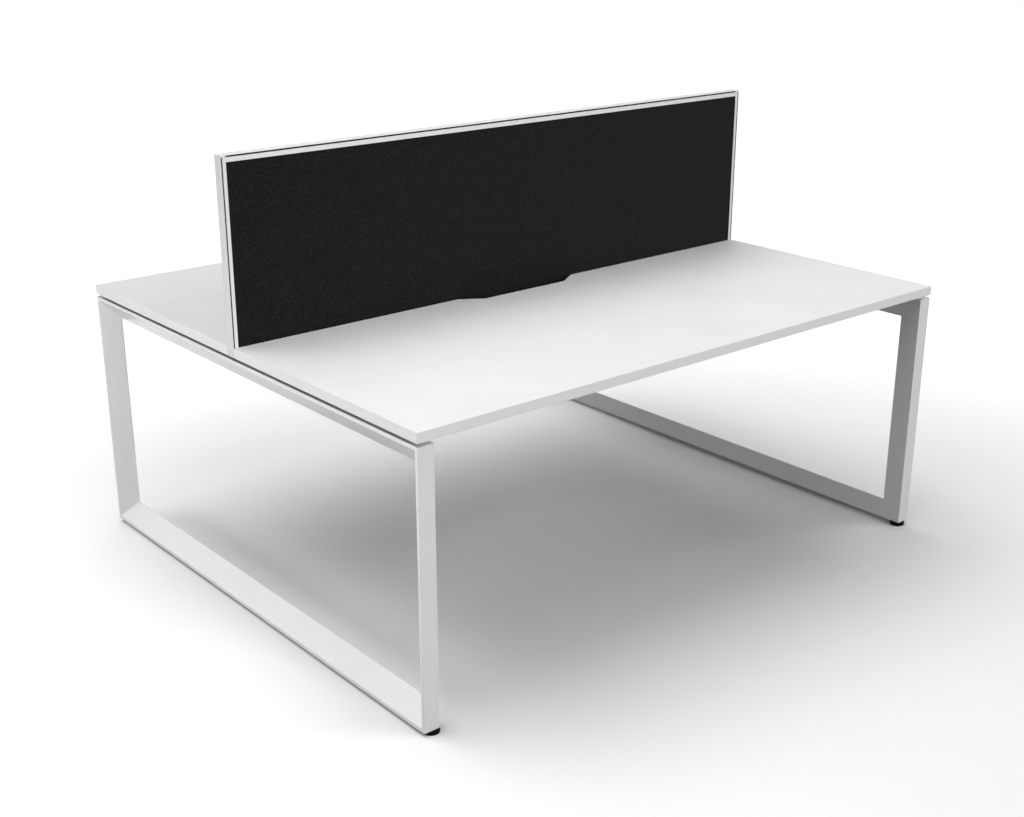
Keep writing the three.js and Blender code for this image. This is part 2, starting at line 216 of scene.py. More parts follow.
# Black nylon moulded in a spark-eroded tool: dull black with a fine pitted grain.
nylon = {
    "name": "black_moulded_nylon", "dark": "#050505", "light": "#0b0b0b", "pit": 0.8, "relief": 0.03,
    "bump": 0.6, "gloss": (0.5, 0.65), "shine": 0.06,
}
# Dark grey PVC strip, matt, in the screen's grooves: its darkness is painted shade for the grooves' recess.
grooveShadeVinyl = {**nylon, "name": "painted_groove_shade_vinyl", "dark": "#1e1e1e", "light": "#2a2a2a", "shine": 0.1}


def mouldedPlastic(look):
    material, tree, place = newMaterial(look["name"])
    pits = addNoise(tree, place, look["pit"], detail=2.0)
    endTree(tree, {
        "Base Color": mixColours(tree, pits, look["dark"], look["light"]),
        "Roughness": stretchOver(tree, pits, noiseSpan["gloss"], look["gloss"]),
        "Normal": addBump(tree, pits, look), "Specular IOR Level": look["shine"]})
    return material


# Bright zinc plate on steel: bluish silver, clouded where the plating is thicker.
zinc = {
    "name": "zinc_plated_steel", "bright": "#c3c7cb", "dull": "#a4a8ad", "cloud": 3.5, "gloss": (0.24, 0.38),
}


def platedSteel(look):
    material, tree, place = newMaterial(look["name"])
    cloud = addNoise(tree, place, look["cloud"], detail=4.0)
    endTree(tree, {
        "Base Color": mixColours(tree, cloud, look["bright"], look["dull"]),
        "Roughness": stretchOver(tree, cloud, noiseSpan["gloss"], look["gloss"]), "Metallic": 1.0})
    return material


# Soft pin board of pressed wood fibre: buff, matt and felted.
fibreBoard = {
    "name": "pressed_fibre_board", "pale": "#c4b497", "deep": "#a8977a", "fibre": 2.5, "tangle": 1.2,
    "relief": 0.2, "bump": 0.5, "rough": 0.9,
}


def pressedFibre(look):
    material, tree, place = newMaterial(look["name"])
    fibre = addNoise(tree, place, look["fibre"], detail=5.0, tangle=look["tangle"])
    endTree(tree, {
        "Base Color": mixColours(tree, fibre, look["pale"], look["deep"]), "Roughness": look["rough"],
        "Normal": addBump(tree, fibre, look)})
    return material


# Each finish with the record's slot that it belongs to.
finishes = {
    "melamine": (coatedSurface(melamine), "white_melamine"),
    "edgeBand": (coatedSurface(edgeBand), "white_edge_band"),
    "powderCoat": (coatedSurface(powderCoat), "white_powder_coat"),
    "rail": (coatedSurface(coatedRail), "white_aluminium"),
    "post": (coatedSurface(coatedPost), "white_aluminium"),
    "cloth": (wovenCloth(screenCloth), "charcoal_fabric"),
    "nylon": (mouldedPlastic(nylon), "black_nylon"),
    # the dark groove liners: painted shade
    "grooveShade": (mouldedPlastic(grooveShadeVinyl), "black_nylon"),
    "zinc": (platedSteel(zinc), "zinc_steel"),
    "fibreBoard": (pressedFibre(fibreBoard), "core_board"),
}
print("materials:", len(finishes))


def nodeBox(name):
    low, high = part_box(name)
    return np.array(low), np.array(high)


def gridFaces(rows, columns, loopRows=False, loopColumns=True):
    # quads between neighbouring rows and columns of a grid of points, wrapped round where it closes
    row = np.arange(rows if loopRows else rows - 1)[:, None]
    column = np.arange(columns if loopColumns else columns - 1)[None, :]
    nextRow = (row + 1) % rows
    nextColumn = (column + 1) % columns
    corners = [row * columns + column, row * columns + nextColumn,
               nextRow * columns + nextColumn, nextRow * columns + column]
    return np.stack(np.broadcast_arrays(*corners), axis=-1).reshape(-1, 4).tolist()


def cappedFaces(points):
    # a grid's faces, with one flat face over its first loop and one over its last
    rows, columns = points.shape[:2]
    caps = [list(range(columns)), list(range((rows - 1) * columns, rows * columns))]
    return gridFaces(rows, columns) + caps


def roundCorners(corners, radius, steps):
    # each corner of a closed outline becomes (1-t)^2 start + 2t(1-t) corner + t^2 end, where start and
    # end are the points that a circle of that radius touches; gives corners by steps + 1 by 2
    corners = np.asarray(corners, float)
    before = np.roll(corners, 1, axis=0) - corners
    after = np.roll(corners, -1, axis=0) - corners
    before /= np.linalg.norm(before, axis=1, keepdims=True)
    after /= np.linalg.norm(after, axis=1, keepdims=True)
    cosine = np.clip(np.sum(before * after, axis=1), -1, 1)
    reach = (np.broadcast_to(radius, len(corners)) / np.tan(np.arccos(cosine) / 2))[:, None]
    start = (corners + before * reach)[:, None]
    end = (corners + after * reach)[:, None]
    t = np.linspace(0, 1, steps + 1)[None, :, None]
    return (1 - t) ** 2 * start + 2 * t * (1 - t) * corners[:, None] + t ** 2 * end


def carryProfile(profile, places, across, inward):
    # a flat profile at each place of a path: place + across * first + inward * second
    places = np.asarray(places, float)[:, None, :]
    across = np.broadcast_to(np.asarray(across, float), (len(places), 3))[:, None, :]
    inward = np.broadcast_to(np.asarray(inward, float), (len(places), 3))[:, None, :]
    return places + profile[None, :, :1] * across + profile[None, :, 1:] * inward


# Points closer than the weld are one, edges that bend past the crease stay sharp, and a rounded edge takes
# what bends past the bevel's angle; the weight is the strongest that flat faces can have.
meshing = {"weld": 1e-7, "crease": 32, "bevelAngle": 40, "bevelSteps": 3, "weight": 100}


def makePiece(name, points, faces, finish, body="desk", replaced=(), closed=True):
    mesh = bpy.data.meshes.new(name)
    mesh.from_pydata(np.asarray(points).reshape(-1, 3).tolist(), [], faces)
    shape = bmesh.new()
    shape.from_mesh(mesh)
    bmesh.ops.remove_doubles(shape, verts=shape.verts, dist=meshing["weld"])  # closes poles
    if closed:
        bmesh.ops.recalc_face_normals(shape, faces=shape.faces)
    shape.to_mesh(mesh)
    shape.free()
    mesh.shade_smooth()
    mesh.set_sharp_from_angle(angle=math.radians(meshing["crease"]))
    piece = bpy.data.objects.new(name, mesh)
    scene.collection.objects.link(piece)
    material, slot = finishes[finish]
    mesh.materials.append(material)
    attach(piece, body)
    if replaced:
        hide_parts(*replaced)
    return piece


def roundEdges(piece, width):
    bevel = piece.modifiers.new("rounded_edges", "BEVEL")
    bevel.width = width
    bevel.segments = meshing["bevelSteps"]
    bevel.limit_method = "ANGLE"
    bevel.angle_limit = math.radians(meshing["bevelAngle"])
    bevel.harden_normals = True


def evenShading(piece):
    # flat faces keep their own direction, so that only the rounded edges shade as curves
    weighted = piece.modifiers.new("even_shading", "WEIGHTED_NORMAL")
    weighted.keep_sharp = True
    weighted.weight = meshing["weight"]


# Worktops, drawn as the front one; the rear one is the same turned half round.
worktop = {
    "band": 2 * mm, "glue": 0.1 * mm, "mouth": 415 * mm, "floor": 288 * mm, "depth": 41 * mm,
    "radius": 12 * mm, "steps": 12, "arris": 0.7 * mm,
}


def notchLine(halfLength, edge):
    # the inner edge from left to right, sloping down to the cable notch's floor and up again
    mouth, floor, deep = worktop["mouth"] / 2, worktop["floor"] / 2, edge - worktop["depth"]
    corners = [
        (-halfLength, edge), (-mouth, edge), (-floor, deep), (floor, deep), (mouth, edge), (halfLength, edge)]
    bends = roundCorners(corners, worktop["radius"], worktop["steps"])[1:-1].reshape(-1, 2)
    return np.vstack([corners[:1], bends, corners[-1:]])


def mitreSteps(line):
    # at each point of a line, the step to its right that keeps a parallel line one unit away
    along = np.diff(line, axis=0)
    along /= np.linalg.norm(along, axis=1, keepdims=True)
    into = np.vstack([along[:1], along])
    out = np.vstack([along, along[-1:]])
    mean = into + out
    mean /= np.linalg.norm(mean, axis=1, keepdims=True)
    reach = 1 / np.sum(mean * out, axis=1, keepdims=True)
    return np.stack([mean[:, 1], -mean[:, 0]], axis=1) * reach


def atHeights(flat, heights):
    # points in plan at the heights given for each column
    z = np.broadcast_to(np.asarray(heights)[None, :, None], (*flat.shape[:2], 1))
    return np.concatenate([flat, z], axis=2)


def edgeStrip(name, line, low, high, turn):
    # a strip of tape that follows a line, with the board on the line's right
    steps = mitreSteps(line) * worktop["band"]
    flat = np.stack([line, line, line + steps, line + steps], axis=1) * turn
    points = atHeights(flat, [low, high, high, low])
    strip = makePiece(f"{name}_strip", points, cappedFaces(points), "edgeBand", replaced=[name])
    roundEdges(strip, worktop["arris"])


def makeWorktop(name, turn):
    low, high = nodeBox(f"{name}_outer_edge_band")
    innerLow, innerHigh = nodeBox(f"{name}_notched_edge_band")
    halfLength, bottom, top = high[0], low[2], high[2]
    front = turn * (low[1] if turn > 0 else high[1])
    inner = turn * (innerHigh[1] if turn > 0 else innerLow[1])
    back = worktop["band"] + worktop["glue"]

    line = notchLine(halfLength, inner)
    boardLine = line + mitreSteps(line) * back
    boardLine[[0, -1], 0] = back - halfLength, halfLength - back
    frontLine = np.stack([boardLine[:, 0], np.full(len(boardLine), front + back)], axis=1)
    flat = np.stack([frontLine, frontLine, boardLine, boardLine], axis=1) * turn
    points = atHeights(flat, [bottom, top, top, bottom])
    makePiece(f"{name}_worktop_board", points, cappedFaces(points), "melamine", replaced=[f"{name}_worktop"])

    left, right = ("left", "right") if turn > 0 else ("right", "left")
    outerLine = np.array([(halfLength, front), (-halfLength, front)])
    ends = np.array([front + back, inner - back])
    leftLine = np.stack([np.full(2, -halfLength), ends], axis=1)
    rightLine = np.stack([np.full(2, halfLength), ends[::-1]], axis=1)
    edgeStrip(f"{name}_notched_edge_band", line, bottom, top, turn)
    edgeStrip(f"{name}_outer_edge_band", outerLine, bottom, top, turn)
    edgeStrip(f"{name}_{left}_edge_band", leftLine, bottom, top, turn)
    edgeStrip(f"{name}_{right}_edge_band", rightLine, bottom, top, turn)


makeWorktop("front", 1)
makeWorktop("rear", -1)
print("worktops: 2 boards with their edge strips")

# Loop end frames: one closed ring of tapered tube on each side, narrow outside and wide inside.
loopTube = {
    "width": 43.5 * mm, "outer": 9 * mm, "inner": 62.5 * mm, "edge": 0.8 * mm, "ridge": 2.5 * mm,
    "steps": 8,
}


def makeLoop(side, towards):
    # the tube's profile at the loop's four corners, stretched along each diagonal so that its lengths
    # mitre
    parts = [f"{side}_bottom_rail", f"{side}_top_rail", f"{side}_front_upright", f"{side}_rear_upright"]
    boxes = np.array([nodeBox(part) for part in parts])
    low, high = boxes[:, 0].min(axis=0), boxes[:, 1].max(axis=0)
    width, outer, inner = loopTube["width"], loopTube["outer"], loopTube["inner"]
    corners = [(0, 0), (width, 0), (width, inner), (0, outer)]
    radii = [loopTube["edge"], loopTube["edge"], loopTube["ridge"], loopTube["edge"]]
    profile = roundCorners(corners, radii, loopTube["steps"]).reshape(-1, 2)
    outside = low[0] if towards > 0 else high[0]
    y = np.array([low[1], high[1], high[1], low[1]])
    z = np.array([low[2], low[2], high[2], high[2]])
    places = np.stack([np.full(4, outside), y, z], axis=1)
    inward = np.stack([np.zeros(4), -np.sign(y - y.mean()), -np.sign(z - z.mean())], axis=1)
    points = carryProfile(profile, places, (towards, 0, 0), inward)
    faces = gridFaces(*points.shape[:2], loopRows=True)
    evenShading(makePiece(f"{side}_loop_frame", points, faces, "powderCoat", replaced=parts))


makeLoop("left", 1)
makeLoop("right", -1)
print("end frames: 2 loops")


def turnedPiece(radii, heights, sides):
    # a profile of radii and heights turned about Z; a radius may be a row of one value for each side
    angle = np.linspace(0, 2 * np.pi, sides, endpoint=False)
    radius = np.broadcast_to(np.asarray(radii, float).reshape(len(heights), -1), (len(heights), sides))
    height = np.broadcast_to(np.asarray(heights, float)[:, None], radius.shape)
    return np.stack([radius * np.cos(angle), radius * np.sin(angle), height], axis=2)


# Levelling feet: a moulded pad on an M8 stud.
footCorners = ("left_front", "left_rear", "right_front", "right_rear")
foot = {
    "edge": 0.9 * mm, "edgeSteps": 6, "socket": 4.3 * mm, "chamfer": 0.5 * mm, "padFloor": 3 * mm,
    "padSides": 72, "pitch": 1.25 * mm, "thread": 0.65 * mm, "flank": 2.6, "rowsPerPitch": 8,
    "studSides": 24, "tip": 1 * mm,
}


def makePad(corner):
    low, high = nodeBox(f"{corner}_foot_pad")
    radius, height = (high[0] - low[0]) / 2, high[2] - low[2]
    bend = np.linspace(0, np.pi / 2, foot["edgeSteps"] + 1)
    edge, socket, chamfer, padFloor = foot["edge"], foot["socket"], foot["chamfer"], foot["padFloor"]
    lowerR = radius - edge + edge * np.sin(bend)
    lowerZ = edge - edge * np.cos(bend)
    upperR = radius - edge + edge * np.cos(bend)
    upperZ = height - edge + edge * np.sin(bend)
    radii = np.concatenate([[0], lowerR, upperR, [socket + chamfer, socket, socket, 0]])
    heights = np.concatenate([[0], lowerZ, upperZ, [height, height - chamfer, padFloor, padFloor]])
    points = turnedPiece(radii, heights, foot["padSides"]) + [*((low + high) / 2)[:2], low[2]]
    pad = makePiece(f"{corner}_glide_pad", points, gridFaces(*points.shape[:2]), "nylon",
                    body=f"{corner}_foot", replaced=[f"{corner}_foot_pad"])
    evenShading(pad)


def makeStud(corner):
    # thread: the radius falls from crest to root and back once a pitch, and once round for each turn
    low, high = nodeBox(f"{corner}_foot_stud")
    radius, length = (high[0] - low[0]) / 2, high[2] - low[2]
    rows = int(length / foot["pitch"] * foot["rowsPerPitch"])
    z = np.linspace(0, length, rows)[:, None]
    angle = np.linspace(0, 2 * np.pi, foot["studSides"], endpoint=False)[None, :]
    phase = (z / foot["pitch"] - angle / (2 * np.pi)) % 1
    depth = np.clip(foot["flank"] * (0.5 - np.abs(phase - 0.5)), 0, 1) * foot["thread"]
    taper = np.minimum(radius, radius - foot["tip"] + np.minimum(z, length - z))
    bars = np.minimum(radius - depth, taper)
    ends = np.zeros((1, foot["studSides"]))
    radii = np.vstack([ends, bars, ends])
    heights = np.concatenate([[0], z[:, 0], [length]])
    points = turnedPiece(radii, heights, foot["studSides"]) + [*((low + high) / 2)[:2], low[2]]
    makePiece(f"{corner}_threaded_stud", points, gridFaces(*points.shape[:2]), "zinc",
              body=f"{corner}_foot", replaced=[f"{corner}_foot_stud"])


for corner in footCorners:
    makePad(corner)
    makeStud(corner)
print("feet: 4 pads and studs")

# Beams under the worktops: cold-rolled tube with rounded corners.
beam = {"wall": 2 * mm, "radius": 3.5 * mm, "bore": 1.8 * mm, "steps": 6}
# Their end brackets: a plate, and a hollow spigot that slides into the beam.
bracket = {"plate": 4 * mm, "corner": 6 * mm, "edge": 0.6 * mm, "steps": 6, "gap": 0.3 * mm}
spigot = {"wall": 2.5 * mm, "radius": 1.5 * mm, "bore": 0.75 * mm, "steps": 6}


def rectangle(low, high):
    return [(low[0], low[1]), (high[0], low[1]), (high[0], high[1]), (low[0], high[1])]


def tubePoints(low, high, tube, ends):
    # outer outline at both ends, then the bore's outline back again: a ring that closes on itself
    low, high = np.asarray(low), np.asarray(high)
    wall = tube["wall"]
    outside = roundCorners(rectangle(low, high), tube["radius"], tube["steps"]).reshape(-1, 2)
    inside = roundCorners(rectangle(low + wall, high - wall), tube["bore"], tube["steps"]).reshape(-1, 2)
    rows = [(outside, ends[0]), (outside, ends[1]), (inside, ends[1]), (inside, ends[0])]
    return np.stack([np.insert(outline, 0, x, axis=1) for outline, x in rows])


def plateGrid(halfSize, thickness, plate):
    # a rounded rectangle in its first two coordinates that shrinks over its rounded edges at both faces
    # of its thickness, the third coordinate
    bend = np.linspace(0, np.pi / 2, plate["steps"] + 1)
    edge = plate["edge"]
    inset = np.concatenate([edge * (1 - np.sin(bend)), edge * (1 - np.cos(bend))])
    level = np.concatenate([edge * (1 - np.cos(bend)), thickness - edge * (1 - np.sin(bend))])
    half = np.asarray(halfSize)
    outline = roundCorners(rectangle(-half, half), plate["corner"], plate["steps"]).reshape(-1, 2)
    shrink = (half[None, :] - inset[:, None]) / half[None, :]
    flat = outline[None] * shrink[:, None, :]
    return atHeights(flat.transpose(1, 0, 2), level).transpose(1, 0, 2)


def makeBeam(name):
    low, high = nodeBox(name)
    points = tubePoints(low[1:], high[1:], beam, (low[0], high[0]))
    faces = gridFaces(*points.shape[:2], loopRows=True)
    evenShading(makePiece(f"{name}_tube", points, faces, "powderCoat", replaced=[name]))


def makeBracket(name, beamName, side):
    low, high = nodeBox(name)
    beamLow, beamHigh = nodeBox(beamName)
    middle = (low + high) / 2
    outside = low[0] if side < 0 else high[0]
    # the plate's thickness runs along X, away from the rail
    across, up, through = np.moveaxis(plateGrid((high - low)[1:] / 2, bracket["plate"], bracket), -1, 0)
    plate = np.stack([outside - side * through, middle[1] + across, middle[2] + up], axis=2)
    clear = beam["wall"] + bracket["gap"]
    ends = (outside - side * bracket["plate"], low[0] if side > 0 else high[0])
    tube = tubePoints(beamLow[1:] + clear, beamHigh[1:] - clear, spigot, ends)
    points = np.vstack([plate.reshape(-1, 3), tube.reshape(-1, 3)])
    tubeFaces = np.array(gridFaces(*tube.shape[:2], loopRows=True)) + plate.shape[0] * plate.shape[1]
    faces = cappedFaces(plate) + tubeFaces.tolist()
    evenShading(makePiece(f"{name}_plate", points, faces, "powderCoat", replaced=[name]))


for end in ("front", "rear"):
    for row in ("outer", "inner"):
        makeBeam(f"{end}_{row}_beam")
        makeBracket(f"{end}_{row}_beam_left_bracket", f"{end}_{row}_beam", -1)
        makeBracket(f"{end}_{row}_beam_right_bracket", f"{end}_{row}_beam", 1)
print("beams: 4 with 8 brackets")

# Screen: grooved extrusions round a panel that is covered in cloth on both sides. The rail and the posts
# each have a flange, a groove and a body, in that order from the outside.
screenFrame = {
    "groove": 5 * mm, "web": 3 * mm, "lip": 1.5 * mm, "arris": 0.35 * mm, "steps": 3, "seam": 0.08 * mm,
    "rail": (2 * mm, 4 * mm, 11.5 * mm), "post": (1.5 * mm, 3.5 * mm, 9 * mm), "sill": 9 * mm,
}


def mirroredOutline(side):
    # one side of a profile and its reflection as one outline, with its corners rounded
    side = np.asarray(side)
    corners = np.vstack([side, (side * [-1, 1])[::-1]])
    return roundCorners(corners, screenFrame["arris"], screenFrame["steps"]).reshape(-1, 2)


def groovedProfile(half, flange, groove, body):
    # from the outer face inward: flange, groove down each side, then a channel between two lips
    neck, channel = half - screenFrame["groove"], half - screenFrame["lip"]
    shoulder = flange + groove
    return mirroredOutline([
        (half, 0), (half, flange), (neck, flange), (neck, shoulder), (half, shoulder),
        (half, shoulder + body), (channel, shoulder + body), (channel, shoulder + screenFrame["web"])])


def sillProfile(half):
    channel, height = half - screenFrame["lip"], screenFrame["sill"]
    return mirroredOutline([(half, 0), (half, height), (channel, height), (channel, screenFrame["web"])])


def makeExtrusion(name, profile, places, inward, finish, replaced=()):
    points = carryProfile(profile, places, (0, 1, 0), inward)
    evenShading(makePiece(name, points, cappedFaces(points), finish, replaced=replaced))


def makeScreenFrame():
    railHigh = nodeBox("screen_top_rail")[1]
    postLow, postHigh = nodeBox("screen_left_post")
    rightHigh = nodeBox("screen_right_post")[1]
    capLow = nodeBox("screen_left_corner_cap")[0]
    half, top, bottom = railHigh[1], railHigh[2], postLow[2]
    postTop = capLow[2] - screenFrame["seam"]
    railEnd = rightHigh[0] - (postHigh[0] - postLow[0]) - screenFrame["seam"]
    rail = groovedProfile(half, *screenFrame["rail"])
    post = groovedProfile(half, *screenFrame["post"])
    makeExtrusion("screen_top_extrusion", rail, [(-railEnd, 0, top), (railEnd, 0, top)],
                  (0, 0, -1), "rail", ["screen_top_rail"])
    makeExtrusion("screen_bottom_extrusion", sillProfile(half), [(-railEnd, 0, bottom), (railEnd, 0, bottom)],
                  (0, 0, 1), "rail", ["screen_bottom_rail"])
    for side, sign in (("left", -1), ("right", 1)):
        x = sign * rightHigh[0]
        makeExtrusion(f"screen_{side}_extrusion", post, [(x, 0, bottom), (x, 0, postTop)],
                      (-sign, 0, 0), "post", [f"screen_{side}_post"])


# Vinyl strips pushed into the grooves: a dark channel that lines each groove's floor and most of its walls,
# painted shade that darkens the grooves.
grooveShadeStrip = {
    "thick": 0.5 * mm, "legs": 3.5 * mm, "gap": 0.06 * mm, "end": 0.5 * mm, "arris": 0.12 * mm, "steps": 2,
}


def grooveShadeProfile(half, flange, groove, sign):
    # the channel's outline, in the coordinates of the extrusion's profile, open towards the outside
    floor = half - screenFrame["groove"] + grooveShadeStrip["gap"]
    mouth = floor + grooveShadeStrip["legs"]
    low, high = flange + grooveShadeStrip["gap"], flange + groove - grooveShadeStrip["gap"]
    thick = grooveShadeStrip["thick"]
    corners = np.array([
        (floor, low), (mouth, low), (mouth, low + thick), (floor + thick, low + thick),
        (floor + thick, high - thick), (mouth, high - thick), (mouth, high), (floor, high)])
    return roundCorners(corners * [sign, 1], grooveShadeStrip["arris"], grooveShadeStrip["steps"]).reshape(-1, 2)


def makeGrooveShadeStrips():
    railHigh = nodeBox("screen_top_rail")[1]
    postLow = nodeBox("screen_left_post")[0]
    capLow = nodeBox("screen_left_corner_cap")[0]
    end = railHigh[0] - grooveShadeStrip["end"]
    top = capLow[2] - grooveShadeStrip["end"] - screenFrame["seam"]
    runs = {
        "top": ("rail", [(-end, 0, railHigh[2]), (end, 0, railHigh[2])], (0, 0, -1)),
        "left": ("post", [(postLow[0], 0, postLow[2]), (postLow[0], 0, top)], (1, 0, 0)),
        "right": ("post", [(-postLow[0], 0, postLow[2]), (-postLow[0], 0, top)], (-1, 0, 0)),
    }
    for place, (kind, path, inward) in runs.items():
        flange, groove = screenFrame[kind][:2]
        for side, sign in (("front", -1), ("rear", 1)):
            profile = grooveShadeProfile(railHigh[1], flange, groove, sign)
            # each strip is a dark liner: painted shade inside the groove
            makeExtrusion(f"screen_{place}_{side}_groove_strip", profile, path, inward, "grooveShade")


# Moulded corner caps that close the grooves where the rail meets the posts.
cornerCap = {"corner": 0.9 * mm, "edge": 0.6 * mm, "steps": 4}


def makeCap(side):
    name = f"screen_{side}_corner_cap"
    low, high = nodeBox(name)
    middle, size = (low + high) / 2, high - low
    across, up, through = np.moveaxis(plateGrid(size[[0, 2]] / 2, size[1], cornerCap), -1, 0)
    points = np.stack([middle[0] + across, low[1] + through, middle[2] + up], axis=2)
    evenShading(makePiece(f"screen_{side}_cap", points, cappedFaces(points), "rail", replaced=[name]))


# Cloth pulled flat over the panel and rolled round its edges, with a trace of unevenness left in it. The
# waves' rates are in radians a metre, each with its start, and the slanted one's with its share.
clothCover = {
    "step": 9 * mm, "thick": 1 * mm, "roll": 4 * mm, "rollRows": (0, 0.08, 0.25, 0.5, 0.75),
    "rollDepth": 0.2 * mm, "slack": 0.18 * mm, "calm": 40 * mm, "level": 0.5, "swing": 0.3,
    "across": (7.1, 1.3), "up": (11.3, 0.4), "slant": (17.9, -5.3, 0.6),
}


def clothLines(low, high):
    # even steps between two ends, with finer ones over the roll at each end
    roll = clothCover["roll"]
    fine = roll * np.array(clothCover["rollRows"])
    count = int((high - low) / clothCover["step"])
    return np.concatenate([low + fine, np.linspace(low + roll, high - roll, count), (high - fine)[::-1]])


def clothWaves(x, z):
    # a wave across times a wave up, plus a share of a slanted wave
    acrossRate, acrossStart = clothCover["across"]
    upRate, upStart = clothCover["up"]
    slantAcross, slantUp, share = clothCover["slant"]
    plain = np.sin(acrossRate * x + acrossStart) * np.sin(upRate * z + upStart)
    return plain + share * np.sin(slantAcross * x + slantUp * z)


def makeCover(side, sign):
    low, high = nodeBox(f"screen_{side}_fabric")
    x, z = np.meshgrid(clothLines(low[0], high[0])[::-sign], clothLines(low[2], high[2]))
    # depth behind the face: a quarter circle within the roll of any edge, and slow waves that fade at
    # the edges
    nearest = np.minimum(np.minimum(x - low[0], high[0] - x), np.minimum(z - low[2], high[2] - z))
    outward = np.clip(1 - nearest / clothCover["roll"], 0, 1)
    rolled = clothCover["rollDepth"] * (1 - np.sqrt(1 - outward ** 2))
    uneven = clothCover["level"] + clothCover["swing"] * clothWaves(x, z)
    slack = clothCover["slack"] * uneven * np.clip(nearest / clothCover["calm"], 0, 1)
    face = high[1] if sign > 0 else -low[1]
    points = np.stack([x, sign * (face - rolled - slack), z], axis=2)
    faces = gridFaces(*points.shape[:2], loopColumns=False)
    cover = makePiece(f"screen_{side}_cover", points, faces, "cloth", replaced=[f"screen_{side}_fabric"],
                      closed=False)
    solid = cover.modifiers.new("cloth_thickness", "SOLIDIFY")
    solid.thickness = clothCover["thick"]
    solid.offset = -1


makeScreenFrame()
makeGrooveShadeStrips()
makeCap("left")
makeCap("right")
makeCover("front", -1)
makeCover("rear", 1)
print("screen: 4 extrusions, 6 groove strips, 2 caps, 2 covers")

# Bridge plates that tie the worktops and carry the screen.
bridge = {"corner": 8 * mm, "edge": 0.6 * mm, "steps": 6}


def makeBridge(side):
    name = f"screen_{side}_bridge_plate"
    low, high = nodeBox(name)
    size = high - low
    points = plateGrid(size[:2] / 2, size[2], bridge) + [*((low + high) / 2)[:2], low[2]]
    evenShading(makePiece(f"screen_{side}_bridge", points, cappedFaces(points), "powderCoat", replaced=[name]))


makeBridge("left")
makeBridge("right")
print("bridges: 2 plates")

# Button heads with a hexagon socket: radius, height and the socket's half width across flats.
bridgeBolt = {
    "radius": 5.5 * mm, "height": 3.5 * mm, "socket": 2 * mm, "shank": 3 * mm, "chamfer": 0.6 * mm,
}
bracketBolt = {
    "radius": 5.5 * mm, "height": 3.3 * mm, "socket": 2 * mm, "aside": 24.5 * mm, "below": 33 * mm,
}
boardScrew = {
    "radius": 4.2 * mm, "height": 2.6 * mm, "socket": 1.5 * mm, "spacing": 340 * mm, "count": 5,
}
plateScrew = {
    "radius": 4.2 * mm, "height": 2.6 * mm, "socket": 1.5 * mm, "across": 18 * mm, "along": 78 * mm,
}
# The rim and the socket's depth are shares of the height; the dome stops at a multiple of the socket.
headGrid = {"sides": 36, "rings": 7, "rim": 0.25, "depth": 0.6, "domeEnd": 1.35}


def headPoints(size):
    # seat, short rim, dome r = R cos(a), then a hexagon socket sunk into its top; it points along +Z
    angle = np.linspace(0, 2 * np.pi, headGrid["sides"], endpoint=False)
    hexagon = size["socket"] / np.cos((angle + np.pi / 6) % (np.pi / 3) - np.pi / 6)
    radius, height = size["radius"], size["height"]
    rim = headGrid["rim"] * height
    bend = np.linspace(0, np.arccos(headGrid["domeEnd"] * size["socket"] / radius), headGrid["rings"])
    domeR = radius * np.cos(bend)
    domeZ = rim + (height - rim) * np.sin(bend) / np.sin(bend[-1])
    plain = np.concatenate([[0, radius], domeR])[:, None] * np.ones(headGrid["sides"])
    radii = np.vstack([plain, hexagon, hexagon, 0 * hexagon])
    floor = height * (1 - headGrid["depth"])
    heights = np.concatenate([[0, 0], domeZ, [height, floor, floor]])
    return turnedPiece(radii, heights, headGrid["sides"])


def makeFasteners(name, head, places, axes, replaced=()):
    # one head's grid set at every place, its axis turned from +Z to the place's own axis
    places, out = np.asarray(places, float), np.asarray(axes, float)
    aside = np.roll(out, 1, axis=1)
    other = np.cross(out, aside)
    flat = head.reshape(-1, 3)
    points = (places[:, None] + flat[None, :, :1] * aside[:, None] + flat[None, :, 1:2] * other[:, None]
              + flat[None, :, 2:] * out[:, None])
    faces = np.array(gridFaces(*head.shape[:2]))[None] + (np.arange(len(places)) * len(flat))[:, None, None]
    evenShading(makePiece(name, points, faces.reshape(-1, 4).tolist(), "zinc", replaced=replaced))


def makeBridgeBolt(place):
    # the bolt's shank, from its end down to the seat, goes before its head
    low, high = nodeBox(f"screen_bolt_{place}")
    middle = (low + high) / 2
    seat = low[2] + bridgeBolt["height"]
    length = high[2] - seat
    radius, chamfer = bridgeBolt["shank"], bridgeBolt["chamfer"]
    shank = turnedPiece([0, radius - chamfer, radius, radius], [-length, -length, chamfer - length, 0],
                        headGrid["sides"])
    bolt = np.concatenate([shank, headPoints(bridgeBolt)], axis=0)
    makeFasteners(f"screen_button_bolt_{place}", bolt, [(middle[0], middle[1], seat)], [(0, 0, -1)],
                  replaced=[f"screen_bolt_{place}"])


